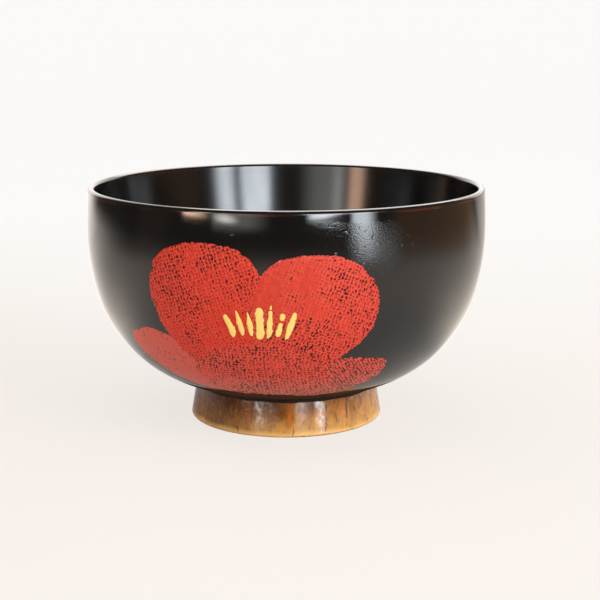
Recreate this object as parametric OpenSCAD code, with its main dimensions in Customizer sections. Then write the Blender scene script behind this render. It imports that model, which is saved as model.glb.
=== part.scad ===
// Lacquered soup bowl: a turned wooden core with black lacquer inside and out, a bare oiled
// foot, and a red camellia with gold stamens laid on the front in thin coats of lacquer.
// Millimetres. The bowl stands on the plane z = 0 with its axis on z and the flower toward -y.

/* [Bowl] */
// Widest diameter, over the lacquer
bowl_d = 115; // [105:1:125]
// Height from the table to the crest of the lip
bowl_h = 68; // [63:1:78]
// Thickness of the wall at the lip, over both coats
lip_t = 2; // [1.6:0.1:3]
// Drop from the crest of the lip to the belly, where the bowl is widest
belly_drop = 11.8; // [8:0.2:16]
// Radius of the curve by which the wall leans in above the belly
upper_curve_r = 146; // [110:1:250]
// Radius of the curve from the belly down the side
side_curve_r = 68; // [60:1:76]
// Drop from the belly to where the side curve runs into the round of the lower body
side_curve_drop = 19.04; // [12:0.02:25]
// Radius of the inside curve from the lip down to the round of the inside
inside_curve_r = 144.25; // [120:0.25:200]
// Height of that curve's centre above the lip, by which the inside opens toward the lip
inside_curve_rise = 12; // [6:0.5:16]
// Thickness of the wood over the foot well
floor_t = 5.5; // [4:0.5:8]

/* [Foot] */
// Height of the foot, up to the lowest level of the bowl
foot_h = 9.8; // [8:0.1:14]
// Diameter of the flared foot at the table
foot_d = 56.2; // [52:0.2:62]
// Diameter of the foot at the bowl
foot_top_d = 53.2; // [50:0.2:58]
// Width of the ring that the bowl stands on
foot_ring_w = 4; // [3:0.1:6]
// Depth of the well inside the ring
foot_well_h = 8.264; // [6:0.002:10]
// Radius of the round between the well's side and its ceiling
well_corner_r = 3; // [1:0.1:5]
// Radius of the round on the ring's outer edge
foot_edge_r = 0.6; // [0.3:0.1:1.5]

/* [Coats] */
// Thickness of the black lacquer
lacquer_t = 0.3; // [0.2:0.05:0.5]
// Thickness of a red petal
petal_t = 0.15; // [0.1:0.05:0.3]
// Thickness of a gold stroke
gold_t = 0.1; // [0.05:0.05:0.2]

/* [Flower] */
// Width over the two upper petals, as a share of the bowl's diameter
flower_width_share = 0.52; // [0.4:0.01:0.56]
// Height that the drawing of the flower is scaled to, as a share of the bowl's height
flower_height_share = 0.88; // [0.7:0.01:0.92]
// Height of the stamens' roots above the table, as a share of the bowl's height
flower_root_share = 0.515; // [0.49:0.005:0.54]
// Turn of the flower round the bowl, from the front toward the left
flower_turn = 7; // [-180:1:180]
// Spacing of the stamens at their roots
stamen_pitch = 2.2; // [1.8:0.1:2.8]
// Spacing of the stamens at their tips
stamen_tip_pitch = 3.05; // [2.4:0.05:4]
// Length of the tallest stamen
stamen_l = 8.6; // [6:0.1:10]
// Width of the middle stamen
stamen_w = 2; // [1.2:0.1:2.4]

/* [Hidden] */
$fn = 120;
// Length by which a cut runs past the face that it opens
overrun = 1;
// Steps between two points of a drawn petal
petal_steps = 5;
// Steps along each side of a stroke
stroke_steps = 12;

bowl_r = bowl_d / 2;
lip_r = lip_t / 2;
lip_z = bowl_h - lip_r;

// The wall is drawn with arcs that run into one another: upper curve, side curve, lower curve.
joint_fall_share = side_curve_drop / side_curve_r;
joint_ray = [sqrt(1 - pow(joint_fall_share, 2)), -joint_fall_share];
belly_z = bowl_h - belly_drop;
lower_curve_r = (belly_z - foot_h - side_curve_drop) / (1 - joint_fall_share);
upper_centre = [bowl_r - upper_curve_r, belly_z];
side_centre = [bowl_r - side_curve_r, belly_z];
lower_centre = side_centre + (side_curve_r - lower_curve_r) * joint_ray;
lip_centre = [upper_centre.x + sqrt(pow(upper_curve_r, 2) - pow(lip_z - belly_z, 2)) - lip_r, lip_z];

// The inside opens toward the lip. Its curve runs into a round and the round into a dished floor,
// both where the slope is 7 in 24.
inside_slope = atan2(7, 24);
inside_ray = [cos(inside_slope), -sin(inside_slope)];
inside_floor_z = foot_well_h + floor_t + lacquer_t;
inside_centre = [
    lip_centre.x - lip_r - sqrt(pow(inside_curve_r, 2) - pow(inside_curve_rise, 2)),
    lip_z + inside_curve_rise
];
inside_joint = inside_centre + inside_curve_r * inside_ray;
dish_slope = tan(inside_slope / 2);
round_r = (inside_joint.y - inside_floor_z - inside_joint.x * dish_slope)
    / (1 + inside_ray.y - inside_ray.x * dish_slope);
round_centre = inside_joint - round_r * inside_ray;
dish_r = round_r + round_centre.x / sin(inside_slope);
dish_centre = [0, inside_floor_z + dish_r];

foot_r = foot_d / 2;
foot_top_r = foot_top_d / 2;
foot_well_r = foot_r - foot_ring_w;
// The foot's flared line is carried on into the wood of the bowl by half the floor's thickness.
foot_root_z = foot_h + floor_t / 2;
foot_flare = (foot_r - foot_top_r) / (foot_h - foot_edge_r);
foot_root_r = foot_top_r - foot_flare * (foot_root_z - foot_h);

// Petal outlines, as shares of the flower's size from the stamens' roots.
flower_size = [flower_width_share * bowl_d, flower_height_share * bowl_h];
flower_z = flower_root_share * bowl_h;
upper_left_shares = [
    [-0.28, -0.17], [-0.41, -0.04], [-0.47, 0.07], [-0.5, 0.18], [-0.48, 0.3], [-0.4, 0.38], [-0.26, 0.41],
    [-0.11, 0.39], [-0.02, 0.32], [0.04, 0.21], [0.05, 0.08], [0.02, -0.1], [-0.1, -0.19]
];
upper_right_shares = [
    [-0.05, 0.05], [-0.03, 0.19], [0.05, 0.32], [0.16, 0.36], [0.28, 0.365], [0.4, 0.33], [0.48, 0.24],
    [0.5, 0.13], [0.46, 0.01], [0.37, -0.08], [0.24, -0.17], [0.08, -0.19], [-0.03, -0.1]
];
lower_left_shares = [
    [-0.63, -0.09], [-0.59, -0.03], [-0.5, -0.01], [-0.38, -0.05], [-0.2, -0.12], [-0.05, -0.22],
    [-0.08, -0.31], [-0.25, -0.315], [-0.4, -0.28], [-0.55, -0.19]
];
lower_right_shares = [
    [0.2, -0.16], [0.33, -0.115], [0.44, -0.12], [0.52, -0.15], [0.49, -0.23], [0.38, -0.295],
    [0.26, -0.33], [0.12, -0.335], [0.02, -0.3], [0.05, -0.22]
];
front_shares = [
    [0, -0.03], [0.16, -0.07], [0.27, -0.17], [0.27, -0.26], [0.18, -0.325], [0, -0.325],
    [-0.18, -0.315], [-0.3, -0.25], [-0.3, -0.15], [-0.17, -0.06]
];
// The petals in the order in which they lie on one another, the topmost first.
petal_names = ["front_petal", "upper_right_petal", "upper_left_petal", "lower_right_petal", "lower_left_petal"];
petal_shares = [front_shares, upper_right_shares, upper_left_shares, lower_right_shares, lower_left_shares];

// Stamens from left to right: tip and root heights as shares of the tallest, widths of the widest.
stamen_tip_shares = [0.68, 0.83, 0.79, 0.96, 1, 0.78, 0.81];
stamen_root_shares = [0.02, 0.06, 0.04, -0.06, -0.01, 0.03, -0.05];
stamen_width_shares = [0.85, 0.7, 0.6, 1, 0.75, 0.75, 0.7];
// How far a stroke's fullest place lies below its middle, and how square its ends are.
stroke_skew = 0.75;
stroke_fullness = 0.4;
stamen_count = len(stamen_tip_shares);
stamen_names = [for (i = [1:stamen_count]) str("stamen_", i)];

// A point between p[1] and p[2] on a smooth curve through all four.
function between(p, t) = (
    2 * p[1] + t * (p[2] - p[0])
    + t * t * (2 * p[0] - 5 * p[1] + 4 * p[2] - p[3])
    + t * t * t * (3 * p[1] - p[0] - 3 * p[2] + p[3])
) / 2;

// A closed smooth curve through the points of a petal.
function smooth_loop(points) = [
    let (n = len(points))
    for (i = [0:n - 1], s = [0:petal_steps - 1])
        between([for (k = [-1:2]) points[(i + k + n) % n]], s / petal_steps)
];

// The outline of one petal on the flower's plane.
function petal_outline(place) = [
    for (p = smooth_loop(petal_shares[place])) [flower_size.x * p.x, flower_size.y * p.y]
];

// One side of a brush stroke: blunt at the root, fullest below its middle, narrower to the tip.
function stroke_side(width, length) = [
    for (s = [0:stroke_steps])
        let (along = s / stroke_steps, swell = sin(180 * pow(along, stroke_skew)))
        [width / 2 * pow(max(swell, 0), stroke_fullness), length * along]
];

// A rectangle in the section plane, drawn by its corners so that neighbours share an edge.
module block(r_from, r_to, z_from, z_to) {
    polygon([[r_from, z_from], [r_to, z_from], [r_to, z_to], [r_from, z_to]]);
}

// Part of a disc in the section plane, between two heights and outside one radius.
module disc_slice(centre, r, z_from, z_to, r_from = 0) {
    intersection() {
        translate(centre) circle(r);
        block(r_from, bowl_d, z_from, z_to);
    }
}

// Half of a disc on the lip.
module lip_slice(r) {
    disc_slice(lip_centre, r, lip_z, bowl_h + overrun);
}

// Section of the bowl taken as solid, with its surface moved in by the inset.
module bowl_section(inset) {
    joint_z = side_centre.y + (side_curve_r - inset) * joint_ray.y;
    lowest_z = lower_centre.y - lower_curve_r + inset;
    disc_slice(upper_centre - [inset, 0], upper_curve_r, belly_z, lip_z);
    disc_slice(side_centre, side_curve_r - inset, joint_z, belly_z);
    disc_slice(lower_centre, lower_curve_r - inset, lowest_z, joint_z, lower_centre.x);
    block(0, lower_centre.x, lowest_z, joint_z);
}

// Section of the space inside the bowl, widened into the wall by the outset.
module inside_section(outset) {
    joint_z = inside_centre.y + (inside_curve_r + outset) * inside_ray.y;
    dish_edge_z = dish_centre.y - (dish_r + outset) * cos(inside_slope);
    disc_slice(inside_centre, inside_curve_r + outset, joint_z, lip_z);
    disc_slice(round_centre, round_r + outset, dish_edge_z, joint_z, round_centre.x);
    block(0, round_centre.x, dish_edge_z, joint_z);
    disc_slice(dish_centre, dish_r + outset, inside_floor_z - outset, dish_edge_z);
}

// Section of the flared foot before its well is turned out.
module foot_section() {
    edge_centre = [foot_r - foot_edge_r, foot_edge_r];
    polygon([[0, foot_edge_r], [foot_r, foot_edge_r], [foot_root_r, foot_root_z], [0, foot_root_z]]);
    block(0, edge_centre.x, 0, edge_centre.y);
    disc_slice(edge_centre, foot_edge_r, 0, foot_edge_r, edge_centre.x);
}

// Section of the well, with a round where its side meets its ceiling.
module well_section() {
    corner_centre = [foot_well_r - well_corner_r, foot_well_h - well_corner_r];
    block(0, foot_well_r, -overrun, corner_centre.y);
    block(0, corner_centre.x, corner_centre.y, foot_well_h);
    disc_slice(corner_centre, well_corner_r, corner_centre.y, foot_well_h, corner_centre.x);
}

// A drawing on the flower's plane, carried straight back into the bowl.
module flower_prism() {
    rotate([0, 0, -flower_turn])
        translate([0, 0, flower_z])
            rotate([90, 0, 0])
                linear_extrude(bowl_d) children();
}

// A coat on the outside of the bowl, between two heights above the black lacquer.
module outside_coat(from, to) {
    rotate_extrude() difference() {
        bowl_section(-to);
        bowl_section(-from);
    }
}

// Bowl and foot, turned from one blank.
module wood_core() {
    color("peru") rotate_extrude() {
        difference() {
            union() {
                bowl_section(lacquer_t);
                foot_section();
            }
            inside_section(lacquer_t);
            well_section();
        }
        lip_slice(lip_r - lacquer_t);
    }
}

// Black coat from under the lip down to the foot.
module outer_lacquer() {
    color([0.07, 0.065, 0.06]) rotate_extrude() difference() {
        bowl_section(0);
        bowl_section(lacquer_t);
        foot_section();
    }
}

// Black coat over the inside, carried over the crest of the lip.
module inner_lacquer() {
    color([0.1, 0.09, 0.085]) rotate_extrude() {
        difference() {
            inside_section(lacquer_t);
            inside_section(0);
        }
        difference() {
            lip_slice(lip_r);
            lip_slice(lip_r - lacquer_t);
        }
    }
}

// One petal of red lacquer, cut off where the petals above it lie.
module petal(place) {
    color([0.84, 0.25, 0.18]) intersection() {
        outside_coat(0, petal_t);
        flower_prism() difference() {
            polygon(petal_outline(place));
            for (above = [0:1:place - 1]) polygon(petal_outline(above));
        }
    }
}

// One gold stroke, leaning out from the middle of the flower.
module stamen(place) {
    across = place - (stamen_count - 1) / 2;
    root = [across * stamen_pitch, stamen_l * stamen_root_shares[place]];
    tip = [across * stamen_tip_pitch, stamen_l * stamen_tip_shares[place]];
    side = stroke_side(stamen_w * stamen_width_shares[place], norm(tip - root));
    left = [for (p = side) [-p.x, p.y]];
    back_down = [for (i = [len(side) - 2:-1:1]) side[i]];
    color([0.93, 0.8, 0.4]) intersection() {
        outside_coat(petal_t, petal_t + gold_t);
        flower_prism()
            translate(root)
                rotate(-atan2(tip.x - root.x, tip.y - root.y))
                    polygon(concat(left, back_down));
    }
}

wood_core();
outer_lacquer();
inner_lacquer();
for (i = [0:len(petal_names) - 1]) {
    petal(i);
}
for (i = [0:stamen_count - 1]) {
    stamen(i);
}
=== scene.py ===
import math

import bpy
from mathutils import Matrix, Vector, noise


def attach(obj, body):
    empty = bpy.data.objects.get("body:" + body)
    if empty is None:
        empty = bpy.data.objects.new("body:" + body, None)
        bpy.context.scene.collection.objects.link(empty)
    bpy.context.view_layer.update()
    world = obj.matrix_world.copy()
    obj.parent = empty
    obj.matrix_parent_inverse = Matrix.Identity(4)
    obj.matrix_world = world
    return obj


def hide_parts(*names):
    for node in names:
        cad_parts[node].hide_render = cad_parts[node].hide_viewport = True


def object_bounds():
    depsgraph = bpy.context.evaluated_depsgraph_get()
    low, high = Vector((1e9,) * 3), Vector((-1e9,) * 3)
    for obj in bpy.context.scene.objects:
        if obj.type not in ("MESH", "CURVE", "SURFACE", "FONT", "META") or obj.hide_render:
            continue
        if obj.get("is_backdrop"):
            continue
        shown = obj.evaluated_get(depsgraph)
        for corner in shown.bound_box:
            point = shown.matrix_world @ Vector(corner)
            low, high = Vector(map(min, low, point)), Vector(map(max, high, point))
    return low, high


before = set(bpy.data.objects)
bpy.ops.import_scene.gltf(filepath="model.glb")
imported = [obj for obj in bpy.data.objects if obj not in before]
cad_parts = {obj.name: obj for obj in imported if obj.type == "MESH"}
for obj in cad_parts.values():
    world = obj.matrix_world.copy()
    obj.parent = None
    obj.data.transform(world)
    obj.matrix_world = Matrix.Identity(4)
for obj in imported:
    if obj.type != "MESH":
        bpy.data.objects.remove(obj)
cad_low, cad_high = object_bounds()
scene = bpy.context.scene
scene.view_settings.view_transform = "Standard"


# Wood core
# Bowl and foot are turned from one blank with the grain standing upright. Only the foot is left
# bare: it is wiped with clear lacquer, so its dark heart, streaks, checks and pale bottom edge
# show. Painted shade darkens its left side, away from the key light, its top under the bowl and a
# thin line along its bottom edge; painted light makes it paler towards the base.


class Tone:
    """A socket in a material. Arithmetic on tones adds Math nodes, and add() any other node."""

    def __init__(self, tree, socket=None):
        self.tree = tree
        self.socket = socket

    def add(self, kind, settings, sockets, output=0):
        """Adds a node, sets its settings and then its sockets, and gives one of its outputs."""
        node = self.tree.nodes.new(kind)
        for name, value in settings.items():
            setattr(node, name, value)
        for key, value in sockets.items():
            if isinstance(value, Tone):
                self.tree.links.new(value.socket, node.inputs[key])
            else:
                node.inputs[key].default_value = value
        return Tone(self.tree, node.outputs[output])

    def math(self, operation, *values):
        return self.add("ShaderNodeMath", {"operation": operation}, dict(enumerate(values)))

    def __add__(self, other):
        return self.math("ADD", self, other)

    __radd__ = __add__

    def __sub__(self, other):
        return self.math("SUBTRACT", self, other)

    def __rsub__(self, other):
        return self.math("SUBTRACT", other, self)

    def __mul__(self, other):
        return self.math("MULTIPLY", self, other)

    __rmul__ = __mul__

    def __truediv__(self, other):
        return self.math("DIVIDE", self, other)

    def __pow__(self, other):
        return self.math("POWER", self, other)

    def __abs__(self):
        return self.math("ABSOLUTE", self)

    def parts(self):
        """The three numbers of a vector."""
        return [self.add("ShaderNodeSeparateXYZ", {}, {0: self}, i) for i in range(3)]

    def vector(self, x, y, z=0.0):
        return self.add("ShaderNodeCombineXYZ", {}, {0: x, 1: y, 2: z})

    def step(self, low, high):
        """Rises smoothly from 0 at low to 1 at high."""
        settings = {"interpolation_type": "SMOOTHSTEP"}
        sockets = {"Value": self, "From Min": low, "From Max": high}
        return self.add("ShaderNodeMapRange", settings, sockets)

    def noise(self, scale, detail=2.0, roughness=0.5):
        """Cloudy values about 0.5 at the place given by this vector."""
        sockets = {"Vector": self, "Scale": scale, "Detail": detail, "Roughness": roughness}
        return self.add("ShaderNodeTexNoise", {}, sockets)

    def between(self, first, second):
        """The first colour where this tone is 0, the second where it is 1."""
        first, second = [c if isinstance(c, Tone) else (*c, 1.0) for c in (first, second)]
        return self.add("ShaderNodeMix", {"data_type": "RGBA"}, {0: self, 6: first, 7: second}, 2)

    def raised(self, height, strength=1.0):
        """A normal from this tone, taken as a share of a height."""
        return self.add("ShaderNodeBump", {}, {"Strength": strength, "Distance": height, "Height": self})

    def into(self, socket):
        self.tree.links.new(self.socket, socket)


def new_finish(name, constants):
    """A material, the start of its nodes, and the sockets of its shader with the constants set."""
    material = bpy.data.materials.new(name)
    material.use_nodes = True
    shader = material.node_tree.nodes["Principled BSDF"].inputs
    for socket, value in constants.items():
        shader[socket].default_value = value
    return material, Tone(material.node_tree), shader


bare_wood, start, shader = new_finish("wiped_wood", {
    "IOR": 1.5,
    "Specular IOR Level": 0.2,
    "Coat IOR": 1.7,
    "Coat Roughness": 0.10,
})
sap_gold = (0.58, 0.24, 0.040)
heart_and_shade_brown = (0.110, 0.029, 0.006)
red_streak = (0.085, 0.018, 0.007)
orange_streak = (0.62, 0.16, 0.015)
crack_and_shade_brown = (0.020, 0.008, 0.005)
pale_gold = (0.93, 0.56, 0.19)
seam_brown = (0.024, 0.012, 0.008)
shaded_heart_x, lit_sap_x = -0.020, 0.013
foot_height = 0.0098
band_low, band_high = 0.0006, 0.0022
base_line = 0.0005
seam_width = 0.0004
crack_end = 0.001
gloss_side_left, gloss_side_right = -0.014, -0.008
gloss_low, gloss_high = 0.0015, 0.0045
grain_height = 0.000030
orange_x, orange_lean = 0.0012, 0.06
orange_core, orange_reach = 0.0001, 0.0008
orange_low, orange_high = 0.002, 0.005
place = start.add("ShaderNodeTexCoord", {}, {}, "Object")
x, y, z = place.parts()
drift = start.vector(x, y, z * 0.3).noise(120.0, 3.0) - 0.5
fibre = start.vector(x, y, z * 0.12).noise(1500.0, 3.0, 0.6)
grain = start.vector(x, y, z * 0.6).noise(800.0, 4.0, 0.7)
# The left of the foot is darker: partly the wood's heart, partly painted shade away from the key light
# on the right.
heart_and_shade = 1.0 - (x + drift * 0.05).step(shaded_heart_x, lit_sap_x)
streaks = start.vector(x, y, z * 0.35).noise(330.0, 4.0, 0.65).step(0.48, 0.68)
flames = start.vector(y, x, z * 0.3).noise(240.0, 2.0).step(0.58, 0.70)
figure = start.vector(x, z * 0.8, y).noise(230.0, 4.0, 0.65).step(0.46, 0.64)
base = heart_and_shade.between(sap_gold, heart_and_shade_brown)
base = (fibre.step(0.35, 0.7) * 0.25).between(base, sap_gold)
base = (flames * 0.55).between(base, orange_streak)
base = (streaks * 0.55).between(base, red_streak)
base = (figure * 0.55).between(base, heart_and_shade_brown)
# Each dark knot: its place across the foot, its height, its size and how dark it is
dark_knots = [(-0.0014, 0.0068, 0.0056, 0.9), (0.0070, 0.0086, 0.0052, 0.65)]
for knot_x, knot_z, knot_size, knot_depth in dark_knots:
    from_knot = ((x - knot_x) ** 2.0 + (z - knot_z) ** 2.0) ** 0.5 + drift * 0.006
    base = ((1.0 - from_knot.step(0.0, knot_size)) * knot_depth).between(base, red_streak)
# Painted light: the foot is paler towards its base, away from the bowl's shade.
painted_light_low = 1.0 - (z / foot_height + drift * 0.7).step(0.0, 0.8)
base = (painted_light_low * (0.6 - heart_and_shade * 0.4)).between(base, pale_gold)
base = (grain.step(0.50, 0.68) * 0.5).between(base, heart_and_shade_brown)
base = (grain.step(0.50, 0.30) * 0.3).between(base, sap_gold)
# A paler band along the bottom edge of the foot.
base_band = 1.0 - (z + drift * 0.003).step(band_low, band_high)
base = (base_band * (1.0 - heart_and_shade * 0.3)).between(base, pale_gold)
from_orange = abs(x - orange_x - z * orange_lean + drift * 0.004)
orange_line = 1.0 - from_orange.step(orange_core, orange_reach)
orange_line = orange_line * (z + drift * 0.004).step(orange_low, orange_high)
base = (orange_line * 0.85).between(base, orange_streak)
# Each drying crack: its place across the foot, its width, and the heights between which it runs
drying_cracks = [
    (0.0021, 0.00024, 0.0002, 0.0036), (0.0114, 0.00030, 0.0010, 0.0092),
    (0.0171, 0.00030, 0.0012, 0.0098), (-0.0138, 0.00034, 0.0003, 0.0030),
]
cracks = 0.0
for crack_x, crack_width, crack_low, crack_high in drying_cracks:
    wander = start.vector(x * 0.3 + crack_x * 40.0, y * 0.3, z).noise(420.0, 4.0, 0.7) - 0.5
    from_crack = abs(x - crack_x + wander * 0.0026)
    line = 1.0 - from_crack.step(crack_width * 0.2, crack_width)
    run = (z + wander * 0.002).step(crack_low, crack_low + crack_end)
    run = run * z.step(crack_high, crack_high - crack_end)
    unbroken = (grain + wander).step(0.30, 0.52)
    cracks = cracks + line * run * unbroken
base = (cracks * 0.85).between(base, crack_and_shade_brown)
# Painted shade: the top of the foot is darker, under the overhang of the bowl.
shade_under_bowl = (z / foot_height + drift * 0.4).step(0.55, 1.1)
base = (shade_under_bowl * (0.4 + heart_and_shade * 0.25)).between(base, crack_and_shade_brown)
# Painted shade: a thin dark line along the bottom edge, where the foot meets the floor.
contact_shade = 1.0 - z.step(base_line * 0.5, base_line)
base = (contact_shade * (0.45 + streaks * 0.4)).between(base, heart_and_shade_brown)
seam_low = foot_height - seam_width / 2
overlap = (z + drift * 0.0012).step(seam_low, seam_low + seam_width)
overlap.between(base, seam_brown).into(shader["Base Color"])
(0.05 + fibre * 0.13 + overlap * 0.8).into(shader["Roughness"])
polish = (grain * 0.6 + fibre * 0.4 + drift * 0.3).step(0.36, 0.60)
polish = polish * x.step(gloss_side_left, gloss_side_right)
polish = polish * (0.35 + z.step(gloss_low, gloss_high) * 0.65)
mottle = start.vector(x, y, z * 0.9).noise(640.0, 4.0, 0.7).step(0.44, 0.58)
(polish * (1.0 - overlap) * (0.3 + mottle * 0.7)).into(shader["Coat Weight"])
tool_marks = start.vector(x * 0.35, y * 0.35, z + x * 0.3).noise(1500.0, 3.0, 0.6)
relief = fibre * 0.8 + tool_marks * 0.5 + grain * 0.6 - cracks
relief.raised(grain_height).into(shader["Normal"])
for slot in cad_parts["wood_core"].material_slots:
    slot.material = bare_wood


# Black lacquer
# Coats of black lacquer cover the bowl outside, from under the lip to the foot, and inside, over
# the lip. They are brushed on, dry in fine wrinkles, and are rubbed to red along the lip's edge.
# Just above the foot the outer coat is matte, and its brown colour is a painted reflection of the shaded
# foot.

black = (0.0042, 0.0038, 0.0035)
rubbed_red = (0.085, 0.014, 0.010)
rub_low, rub_high = 0.0664, 0.0674
rub_soft_low, rub_soft_high = 0.0004, 0.0003
smooth_from, smooth_to = 0.0640, 0.0658
# The patch at the right of the front where the wrinkles are coarser
patch_x, patch_y, patch_z = 0.024, -0.051, 0.058
patch_core, patch_reach = 0.004, 0.022


def lacquer(name, roughness, wrinkle_height, rub):
    """Gloss black lacquer with wrinkles of some height, rubbed by some share along the lip."""
    material, start, shader = new_finish(name, {"IOR": 1.54})
    place = start.add("ShaderNodeTexCoord", {}, {}, "Object")
    x, y, z = place.parts()
    waver = (place.noise(300.0, 3.0) - 0.5) * 0.0008
    edge = z + waver
    rubbed = edge.step(rub_low, rub_low + rub_soft_low)
    rubbed = rubbed * (1.0 - edge.step(rub_high, rub_high + rub_soft_high))
    rubbed = rubbed * place.noise(60.0, 2.0).step(0.40, 0.58)
    (rubbed * rub).between(black, rubbed_red).into(shader["Base Color"])
    (roughness + place.noise(90.0, 2.0) * 0.03).into(shader["Roughness"])
    level = start.vector(x, y, z * 1.6)
    specks = place.noise(900.0, 0.0).step(0.75, 0.82)
    from_patch = ((x - patch_x) ** 2.0 + (y - patch_y) ** 2.0 + (z - patch_z) ** 2.0) ** 0.5
    crinkled = 1.0 - from_patch.step(patch_core, patch_reach)
    wrinkles = level.noise(1900.0, 2.0, 0.55) * (0.4 + crinkled * 3.6)
    wrinkles = wrinkles + level.noise(420.0, 1.0) * 0.25 + specks * (0.5 + crinkled * 4.0)
    below_lip = 1.0 - z.step(smooth_from, smooth_to)
    (wrinkles * below_lip).raised(wrinkle_height).into(shader["Normal"])
    return material


outer_black = lacquer("outer_black", roughness=0.05, wrinkle_height=0.000008, rub=0.6)
inner_black = lacquer("inner_black", roughness=0.14, wrinkle_height=0.000008, rub=0.12)


def arc(centre, radius, low, high, steps):
    """Points of radius and height on part of a circle, from one angle in degrees to another."""
    for i in range(steps + 1):
        angle = math.radians(low + (high - low) * i / steps)
        yield centre[0] + radius * math.cos(angle), centre[1] + radius * math.sin(angle)


def lathe(profile, turns, closed):
    """Points and faces of a profile of radius and height that is turned round the bowl's axis."""
    points, rings, faces = [], [], []
    for r, z in profile:
        around = turns if r > 1e-6 else 1
        rings.append([len(points) + i % around for i in range(turns + 1)])
        for i in range(around):
            angle = 2 * math.pi * (i + 0.5) / turns
            points.append((r * math.cos(angle), r * math.sin(angle), z))
    for low, high in zip(rings, rings[1:] + rings[:1] if closed else rings[1:]):
        rows = [(low[i], low[i + 1], high[i + 1], high[i]) for i in range(turns)]
        faces += [tuple(dict.fromkeys(face)) for face in rows if len(set(face)) > 2]
    return points, faces


def new_shape(name, points, faces, material):
    """A mesh of one material in the scene."""
    mesh = bpy.data.meshes.new(name)
    mesh.from_pydata(points, [], faces)
    mesh.materials.append(material)
    shape = bpy.data.objects.new(name, mesh)
    scene.collection.objects.link(shape)
    return shape


def new_piece(name, points, faces, material, node):
    """A smooth shape that rides on the bowl and stands for one of its CAD nodes."""
    piece = new_shape(name, points, faces, material)
    piece.data.shade_smooth()
    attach(piece, "root")
    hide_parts(node)
    return piece


bowl_width = 0.115
bowl_height = 0.068
lip_radius = 0.001
belly_height = 0.0562
upper_radius = 0.146
side_radius = 0.068
joint_height = 0.03716
lower_radius = 0.038
lower_centre_r = 0.0183
lower_centre_z = 0.0478
coat = 0.0003
coat_turns = 240
sharp_edge = math.radians(40)
side_centre_r = bowl_width / 2 - side_radius
upper_centre_r = bowl_width / 2 - upper_radius
# Angle of the wall, outside and inside, where one curve runs into the next
joint_angle = math.degrees(math.atan2(7, 24))
lip_z = bowl_height - lip_radius
lip_r = upper_centre_r + math.sqrt(upper_radius ** 2 - (lip_z - belly_height) ** 2) - lip_radius
lip_angle = math.degrees(math.asin((lip_z - belly_height) / upper_radius))
foot_angle = -77.6
lower_steps, side_steps, upper_steps = 36, 16, 10
lower_centre = (lower_centre_r, lower_centre_z)
outside = []
for inset in (0.0, coat):
    lower = arc(lower_centre, lower_radius - inset, foot_angle, -joint_angle, lower_steps)
    middle = arc((side_centre_r, belly_height), side_radius - inset, -joint_angle, 0, side_steps)
    upper = arc((upper_centre_r - inset, belly_height), upper_radius, 0, lip_angle, upper_steps)
    outside.append(list(lower) + list(middle)[1:] + list(upper)[1:])
points, faces = lathe(outside[0] + outside[1][::-1], coat_turns, True)
outer_coat = new_piece("outer_coat", points, faces, outer_black, "outer_lacquer")
outer_coat.data.set_sharp_from_angle(angle=sharp_edge)
# The matte strip above the foot: its brown is a painted reflection of the shaded foot, and it is darker
# at its lower edge as painted shade.
matte_strip, start, shader = new_finish("matte_reflection_strip", {"Specular IOR Level": 0.0, "Roughness": 0.9})
reflected_foot_brown = (0.062, 0.034, 0.023)
joint_shade_brown = (0.034, 0.017, 0.011)
matte_strip_height = 0.0152
joint_shade_low, joint_shade_high = 0.0110, 0.0135
height = start.add("ShaderNodeTexCoord", {}, {}, "Object").parts()[2]
height.step(joint_shade_low, joint_shade_high).between(joint_shade_brown, reflected_foot_brown).into(shader["Base Color"])
outer_coat.data.materials.append(matte_strip)
for face in outer_coat.data.polygons:
    face.material_index = 1 if face.center.z < matte_strip_height else 0

inside_radius = 0.14425
inside_rise = 0.012
floor_height = 0.014064
inside_centre_r = lip_r - lip_radius - math.sqrt(inside_radius ** 2 - inside_rise ** 2)
inside_centre_z = lip_z + inside_rise
inside_start = -math.degrees(math.asin(inside_rise / inside_radius))
joint_cos = math.cos(math.radians(joint_angle))
joint_sin = math.sin(math.radians(joint_angle))
inside_joint_r = inside_centre_r + inside_radius * joint_cos
inside_joint_z = inside_centre_z - inside_radius * joint_sin
dish_slope = math.tan(math.radians(joint_angle / 2))
round_radius = inside_joint_z - floor_height - inside_joint_r * dish_slope
round_radius /= 1 - joint_sin - joint_cos * dish_slope
round_centre_r = inside_joint_r - round_radius * joint_cos
round_centre_z = inside_joint_z + round_radius * joint_sin
dish_radius = round_radius + round_centre_r / joint_sin
dish_angle = joint_angle - 90
lip_steps, inside_steps, round_steps, dish_steps = 15, 20, 26, 12
inside = []
for outset in (0.0, coat):
    lip = arc((lip_r, lip_z), lip_radius - outset, 0, 180, lip_steps)
    wall_radius = inside_radius + outset
    wall = arc((inside_centre_r, inside_centre_z), wall_radius, inside_start, -joint_angle, inside_steps)
    corner_radius = round_radius + outset
    corner = arc((round_centre_r, round_centre_z), corner_radius, -joint_angle, dish_angle, round_steps)
    dish = arc((0.0, floor_height + dish_radius), dish_radius + outset, dish_angle, -90, dish_steps)
    inside.append(list(lip) + list(wall)[1:] + list(corner)[1:] + list(dish)[1:])
points, faces = lathe(inside[0] + inside[1][::-1], coat_turns, True)
inner_coat = new_piece("inner_coat", points, faces, inner_black, "inner_lacquer")
inner_coat.data.set_sharp_from_angle(angle=sharp_edge)


# Petals
# Five petals of red lacquer lie on the black. Each is pressed through coarse cloth while wet, so
# the threads stay as a print, black shows in their gaps, and the edges are ragged.

flower_width = 0.52 * bowl_width
flower_height = 0.88 * bowl_height
flower_root_z = 0.515 * bowl_height
flower_turn = math.radians(7.0)


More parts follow.
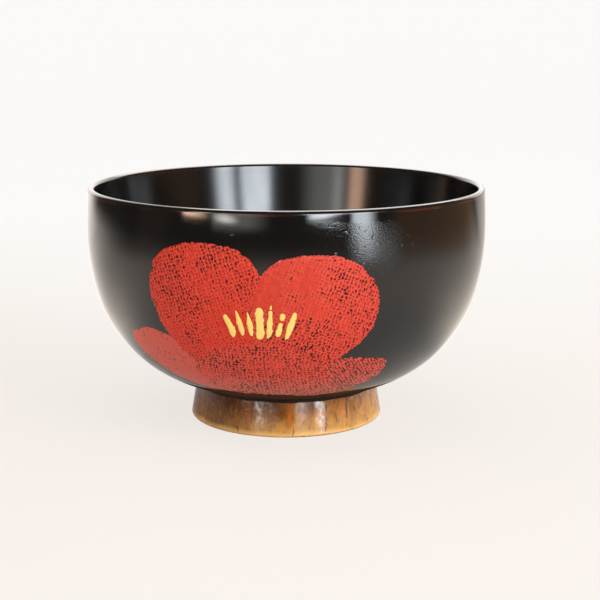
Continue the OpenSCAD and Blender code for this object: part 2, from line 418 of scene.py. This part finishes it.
def bowl_radius(z):
    """Radius of the outside of the lacquer below the belly."""
    if z > joint_height:
        return side_centre_r + math.sqrt(side_radius ** 2 - (z - belly_height) ** 2)
    return lower_centre_r + math.sqrt(lower_radius ** 2 - (z - lower_centre_z) ** 2)


def wall_length(z):
    """Length down the outside of the wall from the belly to a height."""
    side_end = math.asin((belly_height - joint_height) / side_radius)
    if z > joint_height:
        return side_radius * math.asin((belly_height - z) / side_radius)
    lower_end = math.asin((lower_centre_z - z) / lower_radius)
    return side_radius * side_end + lower_radius * (lower_end - side_end)


def on_bowl(x, z, lift):
    """The point on the bowl behind a point of the flower's plane, lifted off the lacquer."""
    radius = bowl_radius(z) + lift
    across = math.asin(max(-1.0, min(1.0, x / radius))) - flower_turn
    return Vector((radius * math.sin(across), -radius * math.cos(across), z))


def smooth_loop(points, steps):
    """A closed smooth curve through the points."""
    count = len(points)
    for i in range(count):
        before, here, there, after = [Vector(points[(i + k) % count]) for k in (-1, 0, 1, 2)]
        for s in range(steps):
            t = s / steps
            square = 2 * before - 5 * here + 4 * there - after
            cube = 3 * here - before - 3 * there + after
            yield (2 * here + t * (there - before) + t * t * square + t ** 3 * cube) / 2


# Threads are in millimetres, before the print is drawn smaller by its fineness
thread_across = 1.10
thread_along = 1.10
thread_stray = 2.1
fineness = 1.18
fleck_low, fleck_high = 0.0515, 0.0535
weave_height = 0.00009
red = (0.70, 0.031, 0.010)
red_light = (0.84, 0.055, 0.018)
red_deep = (0.30, 0.014, 0.009)
thread_highlight_pink = (0.76, 0.115, 0.078)
sheen_pink = (0.60, 0.130, 0.096)
gap_black = (0.010, 0.004, 0.003)
fleck_pink = (0.86, 0.42, 0.34)
cloth_red, start, shader = new_finish("cloth_printed_red", {"IOR": 1.5, "Specular IOR Level": 0.2})
cloth_x, cloth_y = start.add("ShaderNodeUVMap", {"uv_map": "cloth"}, {}).parts()[:2]
cloth_x = cloth_x * fineness
cloth_y = cloth_y * fineness
cloth = start.vector(cloth_x, cloth_y)
open_share = start.add("ShaderNodeAttribute", {"attribute_name": "open_share"}, {}, "Fac")
near_edge = start.add("ShaderNodeAttribute", {"attribute_name": "near_edge"}, {}, "Fac")
painted_sheen = start.add("ShaderNodeAttribute", {"attribute_name": "painted_sheen"}, {}, "Fac")
stray_x = cloth.noise(0.5, 3.0, 0.6) - 0.5
stray_y = start.vector(cloth_y, cloth_x).noise(0.5, 3.0, 0.6) - 0.5
warp = (cloth_x + stray_x * thread_stray) / thread_across
weft = (cloth_y + stray_y * thread_stray) / thread_along
warp_cell = warp.math("FLOOR", warp)
weft_cell = weft.math("FLOOR", weft)
cell = start.vector(warp_cell, weft_cell)
luck = start.add("ShaderNodeTexWhiteNoise", {"noise_dimensions": "2D"}, {"Vector": cell}, "Color")
shown, swell, slim = luck.parts()
from_warp = (warp - warp_cell - 0.5) * thread_across
from_weft = (weft - weft_cell - 0.5) * thread_along
patches = cloth.noise(0.136, 3.0, 0.6)
openness = open_share + (patches - 0.5) * 3.4 + near_edge * 0.2
gap_strength = (shown + openness - 1.0).step(0.0, 0.75) * (0.7 + slim * 0.3)
runs = start.vector(warp_cell * 5.3, weft * 0.35).noise(1.0, 1.0).step(0.52, 0.66)
gap_x = (from_warp + (swell - 0.5) * 0.62) * (1.4 - shown * 0.5)
gap_y = (from_weft + (slim - 0.5) * 0.64) * (1.05 - slim * 0.25 - runs * 0.45 - painted_sheen * 0.2)
from_middle = (gap_x ** 2.0 + gap_y ** 2.0) ** 0.5
from_gap = from_middle + (cloth.noise(2.2, 2.0) - 0.5) * 0.28
gap_size = 0.15 + slim * 0.13 + openness.step(0.8, 1.6) * 0.08 + openness.step(1.6, 2.6) * 0.08
gap = (1.0 - (from_gap - gap_size).step(-0.05, 0.06)) * gap_strength
dimple = 1.0 - from_middle.step(0.10, 0.34)
thread_luck = start.add("ShaderNodeTexWhiteNoise", {"noise_dimensions": "1D"}, {"W": warp_cell}, "Value")
paint = (cloth.noise(0.5, 4.0, 0.65).step(0.35, 0.70) * 0.8).between(red, red_light)
paint = (thread_luck * 0.25).between(paint, red_deep)
paint = (cloth.noise(2.0, 4.0, 0.8).step(0.42, 0.66) * 0.75).between(paint, red_deep)
# Painted highlight: the tops of the threads are lighter pink where they catch the light.
thread_highlight = abs(from_warp).step(0.30, 0.48) + abs(from_weft).step(0.38, 0.55)
paint = (thread_highlight * openness.step(0.1, 0.8) * 0.28).between(paint, thread_highlight_pink)
paint = (dimple * openness.step(0.0, 0.6) * (0.2 + swell * 0.6)).between(paint, red_deep)
# Painted sheen: the petals are paler and pinker in their lower parts, standing in for the reflection of
# the pale floor.
paint = painted_sheen.between(paint, sheen_pink)
height = start.add("ShaderNodeTexCoord", {}, {}, "Object").parts()[2]
fleck = near_edge * height.step(fleck_low, fleck_high) * (slim - swell * 0.3).step(0.55, 0.65)
fleck = fleck * (1.0 - (from_gap + (shown - 0.5) * 0.1).step(0.08, 0.22))
paint = fleck.between(paint, fleck_pink)
(gap * (1.0 - fleck)).between(paint, gap_black).into(shader["Base Color"])
(0.42 - gap * 0.12).into(shader["Roughness"])
weave = (from_warp * from_warp + from_weft * from_weft) * 0.8 + cloth.noise(1.4, 2.0) * 0.4
weave.raised(weave_height, 0.6).into(shader["Normal"])

ring_steps = 16
outline_steps = 30
tooth = 0.00034
lumps_per_m, teeth_per_m, hairs_per_m = 330, 900, 2600
edge_width = 0.0007
edge_fade = 0.0012
rim_share = 0.25
ring_crowding = 1.8
sunk = -0.00002
sheen_from, sheen_to = -0.20, -0.31
sheen_low_share = 0.95
mm = 1000
# Each petal: outline as shares of the flower's size from the stamens' roots, lean of its threads
# in degrees, share of open gaps in its print, how much painted sheen it has, its height on the
# lacquer, and the spots where the paint is thinner or thicker, as place, size and change of the open
# share.
petals = {
    "lower_left_petal": ([
        (-0.63, -0.09), (-0.59, -0.03), (-0.5, -0.01), (-0.38, -0.05), (-0.2, -0.12), (-0.05, -0.22),
        (-0.08, -0.31), (-0.25, -0.315), (-0.4, -0.28), (-0.55, -0.19),
    ], 28, 0.62, 0.58, 0.00007, []),
    "lower_right_petal": ([
        (0.2, -0.16), (0.33, -0.115), (0.44, -0.12), (0.52, -0.15), (0.49, -0.23), (0.38, -0.295),
        (0.26, -0.33), (0.12, -0.335), (0.02, -0.3), (0.05, -0.22),
    ], 17, 2.5, 0.40, 0.00007, [(0.2, -0.2, 0.12, 0.3)]),
    "upper_left_petal": ([
        (-0.28, -0.17), (-0.41, -0.04), (-0.47, 0.07), (-0.5, 0.18), (-0.48, 0.3), (-0.4, 0.38),
        (-0.26, 0.41), (-0.11, 0.39), (-0.02, 0.32), (0.04, 0.21), (0.05, 0.08), (0.02, -0.1),
        (-0.1, -0.19),
    ], 18, 1.25, 0.0, 0.0001, [
        (-0.4, 0.21, 0.06, 0.6), (-0.29, 0.13, 0.08, 0.6), (-0.21, 0.32, 0.035, 1.2),
        (-0.04, 0.27, 0.06, 0.5), (-0.22, 0.235, 0.05, -0.8), (-0.14, 0.04, 0.11, -1.2),
        (-0.4, 0.04, 0.07, -0.7), (-0.2, 0.41, 0.045, 1.5),
    ]),
    "upper_right_petal": ([
        (-0.05, 0.05), (-0.03, 0.19), (0.05, 0.32), (0.16, 0.36), (0.28, 0.365), (0.4, 0.33),
        (0.48, 0.24), (0.5, 0.13), (0.46, 0.01), (0.37, -0.08), (0.24, -0.17), (0.08, -0.19),
        (-0.03, -0.1),
    ], -22, 1.25, 0.12, 0.00012, [
        (0.04, 0.22, 0.13, -1.3), (0.2, 0.28, 0.09, -0.8), (0.22, 0.14, 0.06, -1.0),
        (0.15, 0.19, 0.03, 1.4), (0.38, 0.22, 0.08, 0.5), (0.22, -0.05, 0.09, 0.7),
        (0.44, 0.08, 0.05, 0.4), (0.37, 0.02, 0.05, -0.3),
    ]),
    "front_petal": ([
        (0, -0.03), (0.16, -0.07), (0.27, -0.17), (0.27, -0.26), (0.18, -0.325), (0, -0.325),
        (-0.18, -0.315), (-0.3, -0.25), (-0.3, -0.15), (-0.17, -0.06),
    ], 0, 1.7, 0.2, 0.00014, [
        (-0.2, -0.1, 0.07, 0.6), (-0.2, -0.16, 0.07, 0.5), (0.0, -0.05, 0.05, 0.7),
        (0.08, -0.13, 0.06, -0.7), (-0.06, -0.17, 0.05, -0.6), (-0.1, -0.05, 0.04, -0.6),
        (-0.28, -0.22, 0.08, -0.9), (-0.18, -0.26, 0.06, -0.6),
    ]),
}
for name, (shares, lean, gaps, petal_sheen, lift, spots) in petals.items():
    outline = list(smooth_loop(shares, outline_steps))
    outline = [Vector((p.x * flower_width, p.y * flower_height)) for p in outline]
    middle = sum(outline, Vector((0.0, 0.0))) / len(outline)
    count = len(outline)
    ragged = []
    for p in outline:
        lumps = noise.noise((p.x * lumps_per_m, p.y * lumps_per_m, lean + 4.0))
        teeth = noise.noise((p.x * teeth_per_m, p.y * teeth_per_m, lean))
        hairs = noise.noise((p.x * hairs_per_m, p.y * hairs_per_m, lean + 9.0))
        outward = (p - middle).normalized()
        ragged.append(p + outward * tooth * (lumps + teeth + 0.9 * hairs))
    flat = [middle]
    heights = [1.0]
    edges = [0.0]
    opens, sheen_values = [], []
    for ring in range(1, ring_steps + 1):
        share = 1.0 - (1.0 - ring / ring_steps) ** ring_crowding
        for p in ragged:
            from_edge = (p - middle).length * (1.0 - share)
            rise = min(1.0, from_edge / edge_width)
            flat.append(middle + (p - middle) * share)
            heights.append(rim_share + (1.0 - rim_share) * rise * (2.0 - rise))
            edges.append(max(0.0, 1.0 - from_edge / edge_fade))
    for p in flat:
        share_x, share_y = p.x / flower_width, p.y / flower_height
        changes = [
            change * math.exp(-((share_x - spot_x) ** 2 + (share_y - spot_y) ** 2) / spot_size ** 2)
            for spot_x, spot_y, spot_size, change in spots
        ]
        opens.append(gaps + sum(changes))
        # The painted sheen grows towards the bottom of the flower.
        low = max(0.0, min(1.0, (sheen_from - share_y) / (sheen_from - sheen_to)))
        sheen_values.append(petal_sheen + (1.0 - petal_sheen) * sheen_low_share * low)
    rim = len(flat) - count
    faces = [(0, 1 + i, 1 + (i + 1) % count) for i in range(count)]
    for ring in range(ring_steps - 1):
        for i in range(count):
            a = 1 + ring * count + i
            b = 1 + ring * count + (i + 1) % count
            faces.append((a, a + count, b + count, b))
    under = len(flat)
    backs = [tuple(under + i for i in reversed(face)) for face in faces]
    walls = []
    for i in range(count):
        a, b = rim + i, rim + (i + 1) % count
        walls.append((a, under + a, under + b, b))
    points = [on_bowl(p.x, flower_root_z + p.y, lift * h) for p, h in zip(flat, heights)]
    points += [on_bowl(p.x, flower_root_z + p.y, sunk) for p in flat]
    piece = new_piece(name + "_print", points, faces + backs + walls, cloth_red, name)
    for kind, values in (("open_share", opens), ("painted_sheen", sheen_values), ("near_edge", edges)):
        piece.data.attributes.new(kind, "FLOAT", "POINT").data.foreach_set("value", values * 2)
    turn = math.radians(lean)
    threads = []
    for p in flat:
        z = flower_root_z + p.y
        around = mm * bowl_radius(z) * math.asin(p.x / bowl_radius(z))
        up = -mm * wall_length(z)
        threads.append((
            around * math.cos(turn) + up * math.sin(turn),
            up * math.cos(turn) - around * math.sin(turn),
        ))
    cloth_map = piece.data.uv_layers.new(name="cloth")
    for corner in piece.data.loops:
        cloth_map.uv[corner.index].vector = threads[corner.vertex_index % under]


# Stamens
# Seven dabs of thick yellow-gold paint are set side by side with a loaded brush over the petals.
# They stand a little proud, are blunt below and drag out above, and two of them break.

gold_paint, start, shader = new_finish("gold_paint", {"IOR": 1.5})
gold = (0.86, 0.64, 0.13)
gold_pale = (0.93, 0.71, 0.22)
gold_edge_shade = (0.62, 0.34, 0.06)
bristle_height = 0.00006
along, across = start.add("ShaderNodeUVMap", {"uv_map": "stroke"}, {}).parts()[:2]
bristle = start.vector(along * 0.3, across * 1.6).noise(2.0, 3.0, 0.6)
tint = bristle.step(0.35, 0.7).between(gold, gold_pale)
# Painted shade: each stroke is darker along its edges, where the paint stands proud of the petals.
from_spine = abs(across.math("PINGPONG", across, 2.0) - 1.0)
(from_spine.step(0.78, 1.0) * 0.6).between(tint, gold_edge_shade).into(shader["Base Color"])
(0.36 + bristle * 0.2).into(shader["Roughness"])
bristle.raised(bristle_height, 0.5).into(shader["Normal"])

stamen_length = 0.0086
stamen_width = 0.0022
root_pitch = 0.0022
tip_pitch = 0.00305
gold_lift = 0.00015
gold_thick = 0.0001
gold_sunk = 0.00005
stroke_rows = 36
stroke_columns = 8
end_share = 0.12
row_crowding = 0.12
crown_share = 0.9
tremble_share = 0.34
trembles = 11.0
# Each stamen: where its root and tip lie as shares of the length, its width as shares of the width
# from root to tip, how far its foot is slanted, and the stretches that the brush touched.
stamens = [
    (0.02, 0.70, (0.72, 0.82, 0.74, 0.64, 0.42), 0.8, [(0.0, 1.0)]),
    (0.06, 0.84, (0.46, 0.62, 0.66, 0.40, 0.18), 0.5, [(0.0, 1.0)]),
    (0.04, 0.80, (0.30, 0.60, 0.70, 0.40, 0.16), 0.0, [(0.0, 1.0)]),
    (-0.06, 0.96, (0.90, 0.94, 0.94, 0.96, 0.84), 0.2, [(0.0, 1.0)]),
    (-0.01, 1.04, (0.56, 0.72, 0.66, 0.44, 0.16), 0.9, [(0.0, 0.84), (0.87, 1.0)]),
    (0.03, 0.78, (0.62, 0.66, 0.50, 0.62, 0.66), 0.3, [(0.0, 0.60), (0.70, 1.0)]),
    (-0.05, 0.81, (0.44, 0.62, 0.74, 0.66, 0.40), 0.8, [(0.0, 1.0)]),
]


def along_stroke(widths, t):
    """The width at a share of a stroke's length, eased between the widths given along it."""
    at = min(t, 0.9999) * (len(widths) - 1)
    first = int(at)
    ease = (at - first) ** 2 * (3 - 2 * (at - first))
    return widths[first] * (1 - ease) + widths[first + 1] * ease


for number, (root_share, tip_share, widths, slant, touches) in enumerate(stamens):
    side = number - (len(stamens) - 1) / 2
    root = Vector((side * root_pitch, flower_root_z + stamen_length * root_share))
    tip = Vector((side * tip_pitch, flower_root_z + stamen_length * tip_share))
    up = tip - root
    sideways = Vector((up.y, -up.x)).normalized()
    points, marks, faces = [], [], []
    for low, high in touches:
        base = len(points)
        tops, unders = [], []
        for row in range(stroke_rows + 1):
            share = row / stroke_rows
            t = low + (high - low) * (share - math.sin(2 * math.pi * share) * row_crowding)
            half = stamen_width / 2 * along_stroke(widths, t)
            from_end = min(t - low, high - t) * up.length / half
            closing = max(end_share, math.sqrt(max(0.0, 1.0 - (1.0 - min(1.0, from_end)) ** 2)))
            for column in range(stroke_columns + 1):
                s = 2 * column / stroke_columns - 1
                tremble = noise.noise((number * 7.3 + (1 if s > 0 else 5), t * trembles, 0.5))
                reach = half * closing * (1.0 + tremble_share * tremble * abs(s))
                slide = slant * s * reach * (1.0 - t) ** 2
                at = root + up * t + up.normalized() * slide + sideways * reach * s
                crown = gold_lift + gold_thick * crown_share * closing * math.sqrt(max(0.0, 1.0 - s * s))
                tops.append(on_bowl(at.x, at.y, crown))
                unders.append(on_bowl(at.x, at.y, gold_sunk))
                marks.append((mm * up.length * t, 2 * number + 1 + s))
        marks += marks[-len(tops):]
        points += tops + unders
        across_count = stroke_columns + 1
        under = len(tops)
        top_faces = []
        for row in range(stroke_rows):
            for column in range(stroke_columns):
                a = base + row * across_count + column
                top_faces.append((a, a + 1, a + across_count + 1, a + across_count))
        edge = [base + c for c in range(across_count)]
        edge += [base + r * across_count + stroke_columns for r in range(1, stroke_rows + 1)]
        edge += [base + stroke_rows * across_count + c for c in range(stroke_columns - 1, -1, -1)]
        edge += [base + r * across_count for r in range(stroke_rows - 1, 0, -1)]
        faces += top_faces
        faces += [tuple(under + i for i in reversed(face)) for face in top_faces]
        faces += [(b, a, under + a, under + b) for a, b in zip(edge, edge[1:] + edge[:1])]
    node = f"stamen_{number + 1}"
    piece = new_piece(f"{node}_stroke", points, faces, gold_paint, node)
    stroke_map = piece.data.uv_layers.new(name="stroke")
    for corner in piece.data.loops:
        stroke_map.uv[corner.index].vector = marks[corner.vertex_index]


# Floor and backdrop
# A pale sheet lies flat under the bowl and sweeps up all round it, as a studio sweep does.

sweep_white, start, shader = new_finish("sweep", {"Roughness": 1.0, "Specular IOR Level": 0.0})
near_white = (0.955, 0.905, 0.865)
left_white = (0.925, 0.850, 0.765)
far_white = (0.985, 0.982, 0.970)
camera_share = 0.80
gloss_share = 0.2
left_from, left_to = -0.25, -0.02
far_from, far_to = -0.05, 0.45
x, y, z = start.add("ShaderNodeTexCoord", {}, {}, "Object").parts()
sheet = (1.0 - x.step(left_from, left_to)).between(near_white, left_white)
sheet = (y + z).step(far_from, far_to).between(sheet, far_white)
sheet.into(shader["Base Color"])
ray_kinds = ("Is Camera Ray", "Is Glossy Ray", "Is Transmission Ray")
to_camera, to_gloss, to_glass = [start.add("ShaderNodeLightPath", {}, {}, kind) for kind in ray_kinds]
plain = start.add("ShaderNodeEmission", {}, {"Color": sheet, "Strength": 1.0})
lit = Tone(start.tree, start.tree.nodes["Principled BSDF"].outputs[0])
seen = to_camera * camera_share + (to_gloss + to_glass) * gloss_share
surface = start.add("ShaderNodeMixShader", {}, {0: seen, 1: lit, 2: plain})
surface.into(start.tree.nodes["Material Output"].inputs["Surface"])
floor_radius = 1.3
cove_radius = 0.4
wall_height = 0.9
sweep_sides = 96
cove_steps = 12
profile = [(0.0, 0.0), (0.3, 0.0), (0.6, 0.0), (floor_radius, 0.0)]
for i in range(1, cove_steps + 1):
    angle = math.pi / 2 * i / cove_steps
    profile.append((floor_radius + cove_radius * math.sin(angle), cove_radius * (1.0 - math.cos(angle))))
profile.append((floor_radius + cove_radius, wall_height))
points, faces = lathe(profile[::-1], sweep_sides, False)
sweep = new_shape("sweep", points, faces, sweep_white)
sweep.data.shade_smooth()
sweep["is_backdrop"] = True


# Lights
# Soft daylight falls on all of the scene, with more of it from the right. A dim room stands round
# the front of the sheet and shows only in gloss: two tall windows, a pale wall and a wooden door.

world = bpy.data.worlds.new("daylight")
world.use_nodes = True
sky = world.node_tree.nodes["Background"].inputs
sky["Color"].default_value = (1.0, 0.985, 0.965, 1.0)
sky["Strength"].default_value = 0.80
scene.world = world


lamp_aim = Vector((0.0, 0.0, 0.04))


def new_lamp(name, location, size, colour, radiance):
    """A square soft light that looks at the bowl's axis and that the camera doesn't see."""
    data = bpy.data.lights.new(name, "AREA")
    data.size = size
    data.color = colour
    data.energy = radiance * math.pi * size * size
    lamp = bpy.data.objects.new(name, data)
    lamp.location = location
    lamp.rotation_euler = (lamp_aim - lamp.location).to_track_quat("-Z", "Y").to_euler()
    lamp.visible_camera = False
    scene.collection.objects.link(lamp)
    return lamp


key = new_lamp("key", Vector((0.72, -0.66, 0.42)), size=0.6, colour=(1.0, 0.98, 0.95), radiance=5.5)
key.visible_glossy = False
lip_spot = Vector((0.14, 0.55, 0.8))
lip_light = new_lamp("lip_light", lip_spot, size=0.8, colour=(1.0, 0.95, 0.9), radiance=5.2)
lip_light.visible_diffuse = False


def span(tone, low, high, soft_low, soft_high):
    """1 between two values and 0 outside them, with soft ends inside them."""
    return tone.step(low, low + soft_low) * (1.0 - tone.step(high - soft_high, high))


brightest = 26.0


def glow(radiance, red, green, blue):
    """A colour of the room at a radiance, as a share of its brightest light."""
    return tuple(radiance / brightest * part for part in (red, green, blue))


# What the bowl sees of the room, by azimuth to the right of the camera's side and by elevation
room_glow, start, shader = new_finish("room", {
    "Base Color": (0.0, 0.0, 0.0, 1.0),
    "Specular IOR Level": 0.0,
    "Emission Strength": brightest,
})
azimuth, elevation = start.add("ShaderNodeUVMap", {"uv_map": "room"}, {}).parts()[:2]
dim = glow(0.09, 1.0, 0.85, 0.75)
room = (span(azimuth, -92, -62, 10, 10) * 0.8).between(dim, glow(0.2, 1.0, 0.75, 0.6))
left_wall = span(azimuth, -130, -60, 20, 5) * elevation.step(1.0, 4.0)
room = left_wall.between(room, glow(0.15, 1.0, 0.88, 0.8))
room = span(azimuth, 54, 130, 14, 8).between(room, glow(0.45, 1.0, 0.56, 0.30))
spill = span(azimuth, 44, 66, 2, 19) * span(elevation, -13, -2, 4, 5)
room = spill.between(room, glow(2.4, 0.95, 0.97, 1.0))
# At the left a pale wall with a lighter post, a wooden door and a low lamp
high = elevation.step(1.6, 3.0)
grey_wall = span(azimuth, -42, -6, 5, 17) * elevation.step(-4.5, -1.5)
grey = high.between(glow(1.8, 0.98, 1.0, 0.94), glow(2.3, 0.98, 1.0, 0.94))
room = grey_wall.between(room, grey)
pale_post = span(azimuth, -39.5, -29.5, 4, 5) * elevation.step(2.0, 4.0)
room = pale_post.between(room, glow(5.4, 0.98, 1.0, 0.98))
door = span(azimuth, -55, -41, 5, 4) * high
room = door.between(room, glow(11.5, 1.0, 0.63, 0.45))
door_foot = span(azimuth, -59, -39, 4, 16) * span(elevation, -1.4, 0.1, 0.7, 0.6)
room = door_foot.between(room, glow(26.0, 1.0, 0.66, 0.48))
lamp_x = (azimuth + 32.5 + (elevation + 0.9) * 2.0) / 5.5
lamp_y = (elevation + 0.85) / 0.58
low_lamp = 1.0 - ((lamp_x ** 2.0 + lamp_y ** 2.0) ** 0.5).step(0.1, 1.7)
room = low_lamp.between(room, glow(15.0, 1.0, 0.96, 0.9))
# At the right two windows with thin curtains, one of them behind a bar
folds = start.vector(azimuth * 0.4, elevation * 0.08).noise(1.0, 2.0).step(0.32, 0.68)
pane = folds.between(glow(13.0, 0.83, 0.92, 1.0), glow(20.5, 0.88, 0.94, 1.0))
sag = ((azimuth - 16.0) / 10.0) ** 2.0 * 0.5
sill = (elevation - sag).step(-0.65, -0.15) * (1.0 - (elevation - azimuth * 0.1).step(-1.35, -0.9))
near_window = span(azimuth, 9.0, 32, 4, 4) * sill.math("MAXIMUM", sill, high)
room = near_window.between(room, high.between(glow(26.0, 0.90, 0.95, 1.0), pane))
tail = span(azimuth, 33, 64, 4, 18) * span(elevation, -17, -6, 4, 3)
room = tail.between(room, glow(2.2, 0.95, 0.97, 1.0))
far_window = span(azimuth, 33.5, 51, 4, 9) * elevation.step(-11.0, -5.0)
bar = span(azimuth, 35.6, 39.2, 1.0, 1.0) * (1.0 - elevation.step(-3.0, -1.0))
far_window = far_window * (1.0 - bar * 0.85)
room = far_window.between(room, high.between(glow(12.5, 0.86, 0.93, 1.0), pane))
ceiling = elevation.step(17.0, 24.0)
room = ceiling.between(room, dim)
# The sheet, up to its edge in front of the room and all the way up at the ends and behind
left_side = 1.0 - azimuth.step(-122.0, -88.0)
sheet_edge = (elevation - left_side * 6.5 - azimuth.step(110.0, 126.0) * 4.0).step(-20.0, -5.5)
behind = abs(azimuth).step(128.0, 146.0)
left_end = (1.0 - azimuth.step(-138.0, -104.0)) * (1.0 - elevation.step(1.0, 4.0) * (1.0 - behind))
ends = azimuth.step(126.0, 138.0) + left_end
white = (1.0 - sheet_edge).math("MAXIMUM", 1.0 - sheet_edge, ends)
left_gap = span(azimuth, -146, -80, 18, 12) * elevation.step(-9.0, -4.0)
white = white * (1.0 - left_gap)
near_glow, far_glow = glow(0.85, 1.0, 0.92, 0.86), glow(1.05, 1.0, 0.88, 0.79)
sheet_white = elevation.step(-60.0, -30.0).between(near_glow, far_glow)
near_glow, far_glow = glow(1.55, 1.0, 0.89, 0.78), glow(0.95, 1.0, 0.89, 0.80)
side_white = elevation.step(-50.0, -8.0).between(near_glow, far_glow)
sheet_white = abs(azimuth).step(65.0, 100.0).between(sheet_white, side_white)
near_glow, far_glow = glow(1.45, 1.0, 0.92, 0.85), glow(1.95, 1.0, 0.90, 0.85)
end_white = elevation.step(-14.0, -2.0).between(near_glow, far_glow)
sheet_white = left_end.between(sheet_white, end_white)
near_glow, far_glow = glow(1.5, 1.0, 0.91, 0.83), glow(1.3, 1.0, 0.91, 0.85)
back_white = elevation.step(-40.0, -5.0).between(near_glow, far_glow)
sheet_white = abs(azimuth).step(146.0, 174.0).between(sheet_white, back_white)
sheet_white = elevation.step(-88.0, -58.0).between(glow(0.75, 1.0, 0.94, 0.89), sheet_white)
sheet_white = span(elevation, 2.0, 34.0, 6, 8).between(sheet_white, glow(2.3, 1.0, 0.94, 0.90))
room = white.between(room, sheet_white)
room.into(shader["Emission Color"])

# The room's shell, seen from the bowl's wall near the lip
eye_radius = 0.055
eye_height = 0.06
floor_gap = 0.001
wall_reach = 1.145
dome_reach = 1.3
lowest, highest = -88, 86
turn_step = 3
turns = 360 // turn_step
points, marks, faces = [], [], []
for up in range(lowest, highest + 1):
    angle = math.radians(up)
    reach = min(wall_reach / math.cos(angle), dome_reach)
    if up < 0:
        reach = min(reach, (eye_height - floor_gap) / math.sin(-angle))
    r, z = eye_radius + reach * math.cos(angle), eye_height + reach * math.sin(angle)
    for i in range(turns + 1):
        turn = math.radians(i * turn_step - 180)
        points.append((r * math.sin(turn), -r * math.cos(turn), z))
        marks.append((i * turn_step - 180, up))
for row in range(highest - lowest):
    for i in range(turns):
        a = row * (turns + 1) + i
        faces.append((a, a + 1, a + turns + 2, a + turns + 1))
room_shell = new_shape("room", points, faces, room_glow)
room_map = room_shell.data.uv_layers.new(name="room")
for corner in room_shell.data.loops:
    room_map.uv[corner.index].vector = marks[corner.vertex_index]
room_shell.visible_camera = False
room_shell.visible_diffuse = False
room_shell.visible_transmission = False
room_shell.visible_shadow = False
room_shell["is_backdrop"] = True


# Camera
# It stands in front of the flower, a little above the lip, and looks slightly down.

camera_data = bpy.data.cameras.new("camera")
camera_data.sensor_width = 36.0
camera_data.lens = 81.16
camera_data.shift_x = 0.023
camera = bpy.data.objects.new("camera", camera_data)
camera.location = (0.0, -0.3906, 0.1152)
camera.rotation_euler = (math.radians(78.2), 0.0, 0.0)
scene.collection.objects.link(camera)
scene.camera = camera

low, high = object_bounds()
{"cad": [list(cad_low), list(cad_high)], "visual": [list(low), list(high)]}
